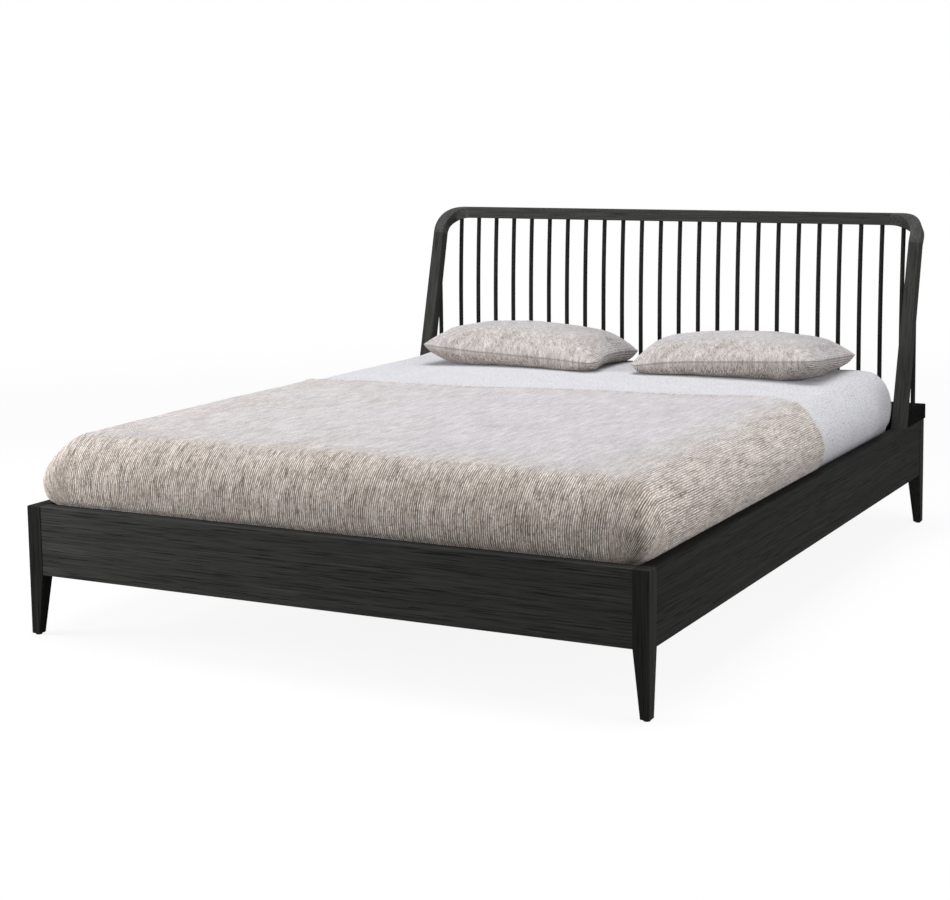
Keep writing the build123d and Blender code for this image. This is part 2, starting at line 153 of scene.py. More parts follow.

# Pillows, metres: their size, how full they start, how their outline is drawn in, the lip of their seam and
# how open their ribs stand, painted shade on the underside; tables by side have the top at 1 and the
# underside at -1
pillow_half = (0.302, 0.1975)
pillow_columns = 48
pillow_rows = 32
pillow_belly = 0.066
pillow_low = 0.476
pillow_gap = 0.0015
pillow_pull = (0.012, 0.016)
pillow_waves = (0.003, 0.06)
full_share = 0.86
full_power = {1: 0.5, -1: 0.2}
blunt_power = 8
lift_power = 2.6
lip = 0.002
seam_crease = 0.8
pillow_open_and_shade = {1: 0.18, -1: 1.0}
pillow_rib_pitch = 0.0043

# The air that fills a pillow: how far it may move a point, and its simulation
air_cap = 0.028
air_frames = 20
air_settings = {
    "quality": 5, "mass": 0.3, "tension_stiffness": 12, "compression_stiffness": 12,
    "bending_stiffness": 0.4, "shrink_min": -0.015, "use_pressure": True, "uniform_pressure_force": 4,
}

# Grain directions, as the stretch of the noise, and the hoop's lean in radians, which its grain follows
across = (0.014, 1, 1)
deep = (1, 0.014, 1)
upright = (1, 1, 0.014)
straight = (0, 0, 0)
leaning = (0.264, 0, 0)

# Colours, linear
oak_dark = (0.0240, 0.0242, 0.0232)
oak_pale = (0.0440, 0.0444, 0.0424)
pine_dark = (0.42, 0.28, 0.16)
pine_pale = (0.66, 0.50, 0.33)
weave_flat = ((0.30, 0.266, 0.250), (0.60, 0.57, 0.565))
# The open weave's ground, darker and warmer: partly the ribs opening, partly painted shade
weave_open_and_shaded = ((0.17, 0.130, 0.100), (0.54, 0.465, 0.40))
weave_rib = (0.98, 0.945, 0.905)
weave_fleck = (0.15, 0.11, 0.08)
weave_seam = (0.24, 0.20, 0.17)
weave_clouds = ((0.84, 0.82, 0.80), (1.10, 1.10, 1.11))
cotton_dark = (0.38, 0.38, 0.40)
cotton_body = (0.58, 0.58, 0.605)
cotton_pale = (0.76, 0.76, 0.785)
cotton_speck = (0.27, 0.27, 0.285)
ticking_dark = (0.66, 0.65, 0.62)
ticking_pale = (0.82, 0.81, 0.78)
sheen_tint = (0.90, 0.90, 1.0)

# Shares in the materials: the tone of the oak's pores, the height of its fibres and pores, the weave's
# height and the sheen that it loses where its ribs stand open; and how far the ribs sway, in radians
pore_share = 0.4
oak_relief = 0.5
weave_relief = 0.7
open_sheen_loss = 0.7
rib_sway = 8.0


def smooth(share):
    """A share from 0 to 1 eased at both ends."""
    share = min(max(share, 0.0), 1.0)
    return share * share * (3 - 2 * share)


def between(places, values, at):
    """A value from a table, in straight lines between its places."""
    if at <= places[0]:
        return values[0]
    for (a, b), (u, v) in zip(zip(places, places[1:]), zip(values, values[1:])):
        if at <= b:
            return u + (v - u) * (at - a) / (b - a)
    return values[-1]


def wander(x, y, waves):
    """Smooth unevenness up and down, from waves as (height, length, seed)."""
    height, size, seed = waves
    return height * noise.noise(Vector((x / size + seed, y / size - seed, seed * seed_step)))


# Meshes

def show(name, data):
    """A new object in the scene."""
    made = bpy.data.objects.new(name, data)
    bpy.context.scene.collection.objects.link(made)
    return made


def new_object(name, points, faces, uvs=None):
    """A mesh object from points and faces, smooth, with one UV pair a point."""
    mesh = bpy.data.meshes.new(name)
    mesh.from_pydata(points, [], faces)
    if uvs:
        layer = mesh.uv_layers.new(name="cloth")
        for loop in mesh.loops:
            layer.data[loop.index].uv = uvs[loop.vertex_index]
    for polygon in mesh.polygons:
        polygon.use_smooth = True
    mesh.update()
    return show(name, mesh)


def mark_points(piece, name, values):
    """Keeps a value for each point of a piece, for its material."""
    marks = piece.data.attributes.new(name, "FLOAT", "POINT")
    for mark, value in zip(marks.data, values):
        mark.value = value


def along(curve, distance):
    """The point of a polyline at a distance from its start, and its end beyond that."""
    for a, b in zip(curve, curve[1:]):
        step = math.dist(a, b)
        if distance <= step:
            share = distance / step
            return tuple(u + (v - u) * share for u, v in zip(a, b))
        distance -= step
    return curve[-1]


def length_of(curve):
    """The length of a polyline."""
    return sum(math.dist(a, b) for a, b in zip(curve, curve[1:]))


def inset(curve, gap):
    """A profile moved inwards by a gap."""
    line = []
    for i, (out, down) in enumerate(curve):
        a, b = curve[max(i - 1, 0)], curve[min(i + 1, len(curve) - 1)]
        run = math.dist(a, b)
        line.append((out - gap * (b[1] - a[1]) / run, down + gap * (b[0] - a[0]) / run))
    return line


def grid_faces(index, columns, rows):
    """The faces of a grid between the points that it has."""
    faces = []
    for i in range(columns):
        for j in range(rows):
            keys = ((i, j), (i + 1, j), (i + 1, j + 1), (i, j + 1))
            if all(key in index for key in keys):
                faces.append([index[key] for key in keys])
    return faces


def ring_faces(rings, count):
    """The faces between rings that have a count of points each, and over both ends."""
    faces = []
    for k in range(rings - 1):
        for i in range(count):
            j = (i + 1) % count
            faces.append([k * count + i, (k + 1) * count + i, (k + 1) * count + j, k * count + j])
    last = (rings - 1) * count
    return faces + [list(range(count)), list(range(last, last + count))[::-1]]


# The made bed's form

def edge_curve():
    """The fall of the blanket's edge, as (outward, down): to its widest, then in and down by the rail."""
    rest = bed_top - rail_top - rail_clear
    turns = [math.pi / 2 * i / edge_steps for i in range(edge_steps + 1)]
    line = []
    for turn in turns:
        out = edge_run * math.sin(turn) ** (2 / edge_power)
        line.append((out, edge_drop * (1 - math.cos(turn) ** (2 / edge_power))))
    for turn in turns[1:]:
        out = edge_run - tuck * (1 - math.cos(turn) ** (2 / under_power))
        line.append((out, edge_drop + (rest - edge_drop) * math.sin(turn) ** (2 / under_power)))
    slipped = edge_run - tuck - tuck_slip
    return line + [(slipped, rest + rail_clear), (slipped, rest + tuck_depth)]


def top_rise(x, y):
    """How the bed's top stands over its flat height: a broad crown, puffs by the pillows and waves."""
    across_share = max(1 - (x / widest_side) ** 2, 0) ** 0.5
    middle = (widest_foot + widest_head) / 2
    length_share = max(1 - ((y - middle) / (widest_head - middle)) ** 2, 0) ** 0.5
    from_puff = (abs(x) - puff_place[0]) / puff_size[0], (y - puff_place[1]) / puff_size[1]
    puff = puff_height * math.exp(-from_puff[0] ** 2 - from_puff[1] ** 2)
    return bed_crown * across_share * length_share + puff + wander(x, y, top_waves)


def corner_share(x, y, share):
    """How much further out a corner reaches than a round one: rounder on top, squarer below."""
    power = corner_power[0] + (corner_power[1] - corner_power[0]) * smooth(share)
    r = math.hypot(x, y)
    return (abs(x / r) ** power + abs(y / r) ** power) ** (-1 / power)


def narrowed(x, share):
    """A place across, drawn in by a share of the bed's narrowing between the posts."""
    spare = max(abs(x) - narrow_side, 0.0)
    return x - math.copysign(narrow_rate * spare * spare * share, x)


def bed_point(u, v, curve, reach, under=None, sink=0.0):
    """Where the cloth's point (u, v) lies: flat on top, then down the edges' curve, fanned at corners."""
    beyond_x = math.copysign(max(abs(u) - flat_side, 0.0), u)
    beyond_y = min(v - flat_foot, 0.0) + max(v - flat_head, 0.0)
    r = math.hypot(beyond_x, beyond_y)
    share = min(r / reach, 1.0)
    out, down = along(curve, share * length_of(curve))
    if under and sink > 0:
        low_out, low_down = along(under, share * length_of(under))
        out += (low_out - out) * sink
        down += (low_down - down) * sink
    fan = out / r * corner_share(beyond_x, beyond_y, share) if r > tiny else 1.0
    x = min(max(u, -flat_side), flat_side) + beyond_x * fan
    y = min(max(v, flat_foot), flat_head) + beyond_y * fan * (head_share if v > flat_head else 1.0)
    if v < flat_foot and down > edge_drop:
        y -= (1 - foot_tuck_share) * (edge_run - out) * smooth(-beyond_y / max(r, tiny))
    start, end = narrow_from
    x = narrowed(x, smooth((y - start) / (end - start)))
    return x, y, bed_top - down + top_rise(x, y) * (1 - smooth(share))


def bed_extent(curve):
    """The reach of a cloth beyond the flat area, and its half width and foot and head ends."""
    reach = length_of(curve)
    return reach, flat_side + reach, flat_foot - reach, flat_head + reach


def past_flat(u, v):
    """How far the cloth's point (u, v) lies past the flat area."""
    return math.hypot(max(abs(u) - flat_side, 0), max(flat_foot - v, v - flat_head, 0))


def make_sheet():
    """The fitted sheet, stretched over the mattress and down inside the rails."""
    curve = inset(edge_curve(), sheet_inset)
    reach, half, foot, head = bed_extent(curve)
    columns = round(2 * half / sheet_cell)
    rows = round((head - foot) / sheet_cell)
    points, uvs, index = [], [], {}
    for i in range(columns + 1):
        u = half * (2 * i / columns - 1)
        for j in range(rows + 1):
            v = foot + (head - foot) * j / rows
            if past_flat(u, v) <= reach + rim_cells * sheet_cell:
                index[i, j] = len(points)
                points.append(bed_point(u, v, curve, reach))
                uvs.append((u, v))
    return new_object("sheet", points, grid_faces(index, columns, rows), uvs)


def open_and_shade_share(u, v, past, back):
    """How open the blanket's ribs stand, with painted shade: where it bends over the edges, a little along
    the hem.
    """
    # A wider band over the left of the top: painted shade
    inner = min(flat_side - u, open_and_shade_left * (flat_side + u), v - flat_foot)
    edge = past if past > 0 else -inner
    edge += wander(u, v, open_and_shade_waves)
    bent = smooth((edge - open_and_shade_from[0]) / (open_and_shade_from[1] - open_and_shade_from[0]))
    bent *= 1 - (1 - open_and_shade_side[0]) * smooth((v - flat_foot) / open_and_shade_side[1])
    return max(bent, open_and_shade_hem[0] * (1 - smooth(back / open_and_shade_hem[1])))


def blanket_lines(u, foot, rows):
    """The blanket's hem at a place across, and its points' places from the foot to there."""
    hem = between(hem_places, hem_lengths, u) + wander(u, 0.0, hem_waves)
    lines = [foot + (hem - hem_rows[0] - foot) * j / rows for j in range(rows)]
    return hem, lines + [hem - back for back in hem_rows]


def blanket_rise(x, y, back, share):
    """The ridge before the hem and slight waves, fading down the edges."""
    ridge = ridge_height * math.exp(-((back - ridge_back) / ridge_width) ** 2)
    soft = wander(x, y, blanket_waves) + wander(x, y, blanket_ripples)
    return (ridge + soft * smooth(back / hem_calm)) * (1 - smooth(share))


def make_blanket():
    """The blanket over the foot of the bed, its hem pressed down onto the sheet."""
    curve = edge_curve()
    under = inset(curve, sheet_inset - hem_thickness)
    reach, half, foot, _ = bed_extent(curve)
    columns = round(2 * half / blanket_cell)
    rows = round((usual_hem - foot) / blanket_cell)
    points, uvs, index, open_and_shade = [], [], {}, []
    for i in range(columns + 1):
        u = half * (2 * i / columns - 1)
        hem, lines = blanket_lines(u, foot, rows)
        for j, v in enumerate(lines):
            past = past_flat(u, v)
            if past <= reach + rim_cells * blanket_cell:
                back = hem - v
                x, y, z = bed_point(u, v, curve, reach, under, 1 - smooth(back / hem_press))
                index[i, j] = len(points)
                points.append((x, y, z + blanket_rise(x, y, back, past / reach)))
                uvs.append((u, v))
                open_and_shade.append(open_and_shade_share(u, v, past, back))
    piece = new_object("blanket_cloth", points, grid_faces(index, columns, rows + len(hem_rows) - 1), uvs)
    # Marks how open the ribs stand, which also paints shade on the sides, foot and left of the top
    mark_points(piece, "rib_open_and_shade", open_and_shade)
    return piece


def plan_ring(out, share, z):
    """A ring round the mattress at one height, fanned at its four corners."""
    ring = []
    drawn = (1 - foot_tuck_share) * max(edge_run - out, 0) if share > ring_tuck_from else 0.0
    for quarter in range(4):
        at_head = quarter < 2
        corner_x = flat_side if quarter in (0, 3) else -flat_side
        corner_y = flat_head if at_head else flat_foot
        for i in range(ring_steps + 1):
            turn = math.pi / 2 * (quarter + i / ring_steps)
            x, y = math.cos(turn), math.sin(turn)
            fan = out * corner_share(x, y, share)
            ring_x = narrowed(corner_x + x * fan, 1.0 if at_head else 0.0)
            ring_y = corner_y + y * fan * (head_share if at_head else 1.0) - drawn * smooth(-y) * ring_tuck
            ring.append((ring_x, ring_y, z))
    return ring


def make_mattress():
    """The mattress, closed, just inside the sheet; it shows only between the slats."""
    curve = inset(edge_curve(), mattress_inset)
    reach = length_of(curve)
    rings, gone = [], 0.0
    for i, (out, down) in enumerate(curve):
        gone += math.dist(curve[i - 1], curve[i]) if i else 0.0
        rings.append(plan_ring(max(out, ring_least), gone / reach, bed_top - down))
    side = curve[-1][0]
    for back, rise in mattress_roll:
        rings.append(plan_ring(side - back, 1.0, mattress_low + rise))
    points = [point for ring in rings for point in ring]
    return new_object("mattress_form", points, ring_faces(len(rings), len(rings[0])))


# Pillows

def blunt_share(s, t):
    """Draws a square's corners in a little, so that the pillow's tips are blunt."""
    most = max(abs(s), abs(t))
    if most == 0:
        return 1.0
    return most / (abs(s) ** blunt_power + abs(t) ** blunt_power) ** (1 / blunt_power)


def pillow_point(s, t, side, crown, seed):
    """A panel's point, already a little full, for its place (s, t) from -1 to 1."""
    full = ((1 - s * s) * (1 - t * t)) ** full_power[side]
    rise = full_share * (crown if side == 1 else -pillow_belly) * full
    blunt = blunt_share(s, t)
    x = s * blunt * (pillow_half[0] - pillow_pull[0] * (1 - t * t))
    y = t * blunt * (pillow_half[1] - pillow_pull[1] * (1 - s * s))
    return x, y, rise + wander(x, y, (*pillow_waves, seed + side)) * full


def pillow_panels(crown, seed):
    """Two panels joined all round: points, faces, UVs, open ribs and painted shade, and the seam's points.
    """
    points, uvs, faces, open_and_shade, seam = [], [], [], [], {}
    for side in (1, -1):
        index = dict(seam)
        for i in range(pillow_columns + 1):
            for j in range(pillow_rows + 1):
                if (i, j) in index:
                    continue
                index[i, j] = len(points)
                s, t = 2 * i / pillow_columns - 1, 2 * j / pillow_rows - 1
                if abs(s) == 1 or abs(t) == 1:
                    seam[i, j] = len(points)
                points.append(pillow_point(s, t, side, crown, seed))
                uvs.append((s * pillow_half[0], t * pillow_half[1]))
                open_and_shade.append(pillow_open_and_shade[side])
        faces += [face[::side] for face in grid_faces(index, pillow_columns, pillow_rows)]
    return points, faces, uvs, open_and_shade, set(seam.values())


def inflate(piece):
    """Fills a closed piece with air by a short cloth simulation, each point kept near its start."""
    start = [vertex.co.copy() for vertex in piece.data.vertices]
    cloth = piece.modifiers.new("air", "CLOTH")
    for key, value in air_settings.items():
        setattr(cloth.settings, key, value)
    cloth.settings.effector_weights.gravity = 0
    cloth.point_cache.frame_end = air_frames
    for number in range(1, air_frames + 1):
        bpy.context.scene.frame_set(number)
    filled = piece.evaluated_get(bpy.context.evaluated_depsgraph_get()).data
    ends = [vertex.co.copy() for vertex in filled.vertices]
    piece.modifiers.remove(cloth)
    bpy.context.scene.frame_set(1)
    for vertex, before, after in zip(piece.data.vertices, start, ends):
        way = after - before
        far = way.length
        vertex.co = before + way * (min(far, air_cap) / far if far > tiny else 1.0)


def sized(piece, crown, belly, seam):
    """Brings a filled pillow back to its size: the seam level, its outline, its crown and its belly."""
    points = [vertex.co for vertex in piece.data.vertices]
    level = sum(points[i].z for i in seam) / len(seam)
    half_x = max(abs(point.x) for point in points)
    half_y = max(abs(point.y) for point in points)
    high = max(point.z for point in points) - level
    low = level - min(point.z for point in points)
    for point in points:
        point.x *= pillow_half[0] / half_x
        point.y *= pillow_half[1] / half_y
        rise = point.z - level
        point.z = rise * (crown / high if rise > 0 else belly / low)


def corner_lift(x, y, lifts):
    """How far a pillow's corners are lifted: front left, front right, rear left and rear right."""
    s, t = x / pillow_half[0], y / pillow_half[1]
    total = 0.0
    for lift, (a, b) in zip(lifts, ((-1, -1), (1, -1), (-1, 1), (1, 1))):
        total += lift * (max(1 + a * s, 0) / 2) ** lift_power * (max(1 + b * t, 0) / 2) ** lift_power
    return total


def settle(piece, seam, place, turn, lifts, lean, thin, level):
    """Lays a pillow on the sheet: crown shifted, one end thinner, corners lifted, underside pressed."""
    turned = Matrix.Rotation(turn, 3, "Z")
    for vertex in piece.data.vertices:
        x, y, z = vertex.co
        if z < 0:
            z *= 1 - abs(thin) * smooth(math.copysign(x, thin * x) / pillow_half[0])
        out = math.hypot(x / pillow_half[0], y / pillow_half[1])
        shifted = Vector((x + lean * z * max(1 - out, 0), y, z + corner_lift(x, y, lifts)))
        if vertex.index in seam:
            shifted.xy *= 1 + lip / pillow_half[0]
        spot = turned @ shifted + Vector((*place, level))
        floor = bed_top - sheet_inset + top_rise(spot.x, spot.y) + pillow_gap
        spot.z = max(spot.z, floor)
        vertex.co = spot


def mark_seam(piece, seam):
    """Marks the seam's points and creases its edges, so that the panels meet in a thin line."""
    mesh = piece.data
    mark_points(piece, "seam", [float(i in seam) for i in range(len(mesh.vertices))])
    crease = mesh.attributes.new("crease_edge", "FLOAT", "EDGE")
    for edge in mesh.edges:
        if edge.vertices[0] in seam and edge.vertices[1] in seam:
            crease.data[edge.index].value = seam_crease


def make_pillow(name, place, turn, lifts, level, crown, lean, thin, seed):
    """A knife-edged pillow, filled by simulation and settled on the sheet."""
    points, faces, uvs, open_and_shade, seam = pillow_panels(crown, seed)
    piece = new_object(name, points, faces, uvs)
    # Marks how open the ribs stand: painted shade on the underside
    mark_points(piece, "rib_open_and_shade", open_and_shade)
    inflate(piece)
    sized(piece, crown, level - pillow_low, seam)
    settle(piece, seam, place, turn, lifts, lean, thin, level)
    mark_seam(piece, seam)
    finer = piece.modifiers.new("smooth", "SUBSURF")
    finer.render_levels = 1
    finer.levels = 1
    return piece


# Shader nodes

def material(name):
    """A new material, its tree and its shader, empty of other nodes."""
    made = bpy.data.materials.new(name)
    made.use_nodes = True
    return made, made.node_tree, made.node_tree.nodes["Principled BSDF"]


def fill(tree, node, inputs):
    """Sets a node's inputs from a dict of values or links."""
    for key, value in inputs.items():
        if isinstance(value, bpy.types.NodeSocket):
            tree.links.new(value, node.inputs[key])
        else:
            node.inputs[key].default_value = value


def add(tree, kind, **settings):
    """A node with its settings, and inputs given as a dict of values or links."""
    inputs = settings.pop("inputs", {})
    node = tree.nodes.new(kind)
    for key, value in settings.items():
        setattr(node, key, value)
    fill(tree, node, inputs)
    return node


def coordinates(tree, kind):
    """A piece's own coordinates: Object or UV."""
    return add(tree, "ShaderNodeTexCoord").outputs[kind]


def mark_of(tree, name):
    """A value kept for each point of a piece."""
    return add(tree, "ShaderNodeAttribute", attribute_name=name).outputs["Fac"]


def ramp(tree, value, stops):
    """A colour ramp: stops are (place, grey or colour)."""
    node = add(tree, "ShaderNodeValToRGB", inputs={"Fac": value})
    elements = node.color_ramp.elements
    while len(elements) < len(stops):
        elements.new(0.5)
    for element, (place, colour) in zip(elements, stops):
        element.position = place
        if not hasattr(colour, "__len__"):
            colour = (colour, colour, colour)
        element.color = (*colour, 1)
    return node.outputs["Color"]


def mix(tree, share, a, b, how="MIX"):
    """Two colours mixed, through the Mix node's sockets for colours."""
    share_socket, a_socket, b_socket, result = 0, 6, 7, 2
    inputs = {share_socket: share}
    for socket, colour in ((a_socket, a), (b_socket, b)):
        inputs[socket] = colour if isinstance(colour, bpy.types.NodeSocket) else (*colour, 1)
    return add(tree, "ShaderNodeMix", data_type="RGBA", blend_type=how, inputs=inputs).outputs[result]


def shaded(tree, colour, shade):
    """A colour times a shade."""
    return mix(tree, 1.0, colour, shade, "MULTIPLY")


def maths(tree, how, a, b=0.0):
    """One sum on one or two values."""
    return add(tree, "ShaderNodeMath", operation=how, inputs={0: a, 1: b}).outputs[0]


def times(tree, a, b):
    """One value times another."""
    return maths(tree, "MULTIPLY", a, b)


def line_of(tree, value, rate, start):
    """A value times a rate, with a start added."""
    return maths(tree, "ADD", times(tree, value, rate), start)


def texture(tree, place, scale, size, detail, roughness, turn=straight, distortion=0.0):
    """Noise whose cells are stretched by a scale for each axis, after a turn."""
    turned = add(tree, "ShaderNodeMapping", inputs={"Vector": place, "Rotation": turn}).outputs[0]
    scaled = add(tree, "ShaderNodeMapping", inputs={"Vector": turned, "Scale": scale}).outputs[0]
    return add(tree, "ShaderNodeTexNoise", inputs={
        "Vector": scaled, "Scale": size, "Detail": detail, "Roughness": roughness,
        "Distortion": distortion}).outputs["Fac"]


def bump(tree, height, strength, distance):
    """A normal from a height."""
    inputs = {"Height": height, "Strength": strength, "Distance": distance}
    return add(tree, "ShaderNodeBump", inputs=inputs).outputs[0]


def tinted(share, colour):
    """A colour times a share."""
    return tuple(share * value for value in colour)


# Materials

def black_oak(name, stretch, painted_light_tone, turn, gloss):
    """Open-pored oak stained black; stretch is small along the grain."""
    made, tree, shader = material(name)
    place = coordinates(tree, "Object")
    figure = texture(tree, place, stretch, 48, detail=4, roughness=0.6, turn=turn, distortion=0.3)
    fibre = texture(tree, place, stretch, 340, detail=4, roughness=0.7, turn=turn)
    pores = texture(tree, place, stretch, 620, detail=2, roughness=0.5, turn=turn)
    # The tone scales the oak's colours: painted light and shade, set for each part
    dark, pale = tinted(painted_light_tone, oak_dark), tinted(painted_light_tone, oak_pale)
    body = mix(tree, ramp(tree, fibre, [(0.34, 0.0), (0.54, 0.4), (0.70, 1.0)]), dark, pale)
    body = shaded(tree, body, ramp(tree, figure, [(0.32, 0.80), (0.62, 1.10)]))
    pit = ramp(tree, pores, [(0.34, 0.0), (0.44, 1.0)])
    body = mix(tree, pit, tinted(pore_share, dark), body)
    height = maths(tree, "ADD", times(tree, fibre, oak_relief), times(tree, pit, oak_relief))
    fill(tree, shader, {
        "Base Color": body, "Roughness": 0.55, "Specular IOR Level": gloss,
        "Normal": bump(tree, height, strength=0.3, distance=0.0005)})
    return made


def plain_wood(name):
    """Planed softwood for the hidden bottom."""
    made, tree, shader = material(name)
    place = coordinates(tree, "Object")
    grain = texture(tree, place, (0.08, 1, 1), 90, detail=4, roughness=0.6, distortion=0.4)
    rings = texture(tree, place, (0.03, 1, 0.6), 24, detail=2, roughness=0.5)
    colour = ramp(tree, grain, [(0.3, pine_dark), (0.7, pine_pale)])
    colour = shaded(tree, colour, ramp(tree, rings, [(0.35, 0.8), (0.65, 1.05)]))
    fill(tree, shader, {
        "Base Color": colour, "Roughness": 0.6, "Normal": bump(tree, grain, strength=0.2, distance=0.0004)})
    return made


def dark_steel(name):
    """Black-coated steel of the fittings."""
    made, tree, shader = material(name)
    speck = texture(tree, coordinates(tree, "Object"), (1, 1, 1), 900, detail=2, roughness=0.5)
    fill(tree, shader, {
        "Base Color": ramp(tree, speck, [(0.3, 0.018), (0.7, 0.035)]), "Metallic": 0.6, "Roughness": 0.45,
        "Normal": bump(tree, speck, strength=0.15, distance=0.0002)})
    return made


def felt(name):
    """Pressed felt under the feet."""
    made, tree, shader = material(name)
    fuzz = texture(tree, coordinates(tree, "Object"), (1, 1, 1), 1500, detail=3, roughness=0.7)
    fill(tree, shader, {"Base Color": ramp(tree, fuzz, [(0.3, 0.01), (0.7, 0.05)]), "Roughness": 0.95})
    return made


def cloth_shader(tree, shader, colour, normal, sheen):
    """The parts that every cloth's shader shares."""
    fill(tree, shader, {
        "Base Color": colour, "Roughness": 0.92, "Specular IOR Level": 0.15, "Sheen Weight": sheen,
        "Sheen Roughness": 0.4, "Sheen Tint": (*sheen_tint, 1), "Normal": normal})


def weave_thread(tree, place, pitch, shorter):
    """How far the ribs' thread shows: swaying ribs, broken along their length."""
    sway = texture(tree, place, (1, 0.5, 1), 14, detail=4, roughness=0.6)
    sideways = add(tree, "ShaderNodeSeparateXYZ", inputs={"Vector": place}).outputs[0]
    turns = maths(tree, "ADD", times(tree, sideways, 2 * math.pi / pitch), times(tree, sway, rib_sway))
    rib = ramp(tree, maths(tree, "SINE", turns), [(0.0, 0.0), (0.7, 1.0)])
    slub = texture(tree, place, (1, 0.18 * shorter, 1), 200, detail=4, roughness=0.75)
    return times(tree, rib, ramp(tree, slub, [(0.39, 0.05), (0.54, 1.0)]))


def weave_ground(tree, place, open_and_shade, painted_shade_tone, shorter):
    """The patchy ground between the ribs, darker and warmer where they stand open: partly painted shade."""
    band = texture(tree, place, (1, 0.15 * shorter, 1), 80, detail=5, roughness=0.75)
    patch = ramp(tree, band, [(0.38, 0.0), (0.62, 1.0)])
    flat = mix(tree, patch, *weave_flat)
    # The open ground, partly painted shade, darkened further by a tone for the pillows' undersides
    bent = mix(tree, patch, *(tinted(painted_shade_tone, colour) for colour in weave_open_and_shaded))
    return mix(tree, open_and_shade, flat, bent)


def melange_weave(name, pitch, painted_shade_tone=1.0, shorter=1.0, seam_mark=None):
    """Ribbed oat-coloured weave: dense and pale where flat; ribs open at the edges, partly painted shade
    there.
    """
    made, tree, shader = material(name)
    place = coordinates(tree, "UV")
    open_and_shade = mark_of(tree, "rib_open_and_shade")
    thread = weave_thread(tree, place, pitch, shorter)
    fleck = texture(tree, place, (1, 0.4, 1), 260, detail=4, roughness=0.8)
    cloud = texture(tree, place, (1, 0.6, 1), 15, detail=4, roughness=0.65)
    shown = times(tree, thread, line_of(tree, open_and_shade, rate=0.6, start=0.4))
    body = mix(tree, shown, weave_ground(tree, place, open_and_shade, painted_shade_tone, shorter), weave_rib)
    dark_share = line_of(tree, open_and_shade, rate=0.45, start=0.5)
    flecked = times(tree, dark_share, ramp(tree, fleck, [(0.37, 1.0), (0.47, 0.0)]))
    body = mix(tree, flecked, body, weave_fleck)
    body = shaded(tree, body, ramp(tree, cloud, [(0.32, weave_clouds[0]), (0.68, weave_clouds[1])]))
    if seam_mark:
        line = ramp(tree, mark_of(tree, seam_mark), [(0.84, 0.0), (1.0, 0.8)])
        body = mix(tree, line, body, weave_seam)
    height = maths(tree, "ADD", times(tree, thread, weave_relief), times(tree, fleck, weave_relief))
    sheen = maths(tree, "SUBTRACT", 1.0, times(tree, open_and_shade, open_sheen_loss))
    cloth_shader(tree, shader, body, bump(tree, height, strength=0.6, distance=0.0020), sheen)
    return made


def heathered_cotton(name):
    """Cool off-white heathered jersey with fine dark specks."""
    made, tree, shader = material(name)
    place = coordinates(tree, "UV")
    knit = texture(tree, place, (1, 0.6, 1), 300, detail=4, roughness=0.8)
    cloud = texture(tree, place, (1, 1, 1), 16, detail=3, roughness=0.55)
    speck = texture(tree, place, (1, 0.7, 1), 150, detail=4, roughness=0.75)
    body = ramp(tree, knit, [(0.32, cotton_dark), (0.5, cotton_body), (0.68, cotton_pale)])
    body = mix(tree, ramp(tree, speck, [(0.36, 0.9), (0.47, 0.0)]), body, cotton_speck)
    body = shaded(tree, body, ramp(tree, cloud, [(0.3, 0.95), (0.7, 1.03)]))
    cloth_shader(tree, shader, body, bump(tree, knit, strength=0.5, distance=0.0014), sheen=0.2)
    return made


def ticking(name):
    """The mattress's own knitted cover."""
    made, tree, shader = material(name)
    knit = texture(tree, coordinates(tree, "Object"), (1, 1, 1), 380, detail=3, roughness=0.6)
    body = ramp(tree, knit, [(0.3, ticking_dark), (0.7, ticking_pale)])
    cloth_shader(tree, shader, body, bump(tree, knit, strength=0.3, distance=0.001), sheen=0.1)
    return made


# Stage

def seen_plainly(tree):
    """1 for what the camera sees, also in reflections and through clear pieces, and 0 for other light."""
    rays = add(tree, "ShaderNodeLightPath").outputs
    either = maths(tree, "MAXIMUM", rays["Is Camera Ray"], rays["Is Glossy Ray"])
    return maths(tree, "MAXIMUM", either, rays["Is Transmission Ray"])


def blended(tree, share, a, b, output):
    """Links two shaders, mixed by a share, to the tree's output."""
    blend = add(tree, "ShaderNodeMixShader", inputs={0: share, 1: a.outputs[0], 2: b.outputs[0]})
    tree.links.new(blend.outputs[0], tree.nodes[output].inputs["Surface"])


def make_floor():
    """A white floor that keeps a faint shadow near the bed and fades into the white studio."""
    corners = [(-1, -1), (1, -1), (1, 1), (-1, 1)]
    mesh = bpy.data.meshes.new("floor")
    mesh.from_pydata([(floor_half * x, floor_half * y, 0) for x, y in corners], [], [(0, 1, 2, 3)])
    floor = show("floor", mesh)
    made, tree, shader = material("floor_white")
    glow = add(tree, "ShaderNodeEmission", inputs={"Color": (*white, 1), "Strength": 1.0})
    seen = seen_plainly(tree)
    colour = mix(tree, seen, tinted(floor_bounce, white), white)
    fill(tree, shader, {"Base Color": colour, "Roughness": 0.9, "Specular IOR Level": 0})
    place = coordinates(tree, "Object")
    far = add(tree, "ShaderNodeVectorMath", operation="LENGTH", inputs={0: place}).outputs["Value"]
    fade = add(tree, "ShaderNodeMapRange", interpolation_type="SMOOTHSTEP", inputs={
        "Value": far, "From Min": floor_fade[0], "From Max": floor_fade[1],
        "To Min": floor_glow, "To Max": 1.0})
    blended(tree, times(tree, seen, fade.outputs[0]), shader, glow, "Material Output")
    mesh.materials.append(made)


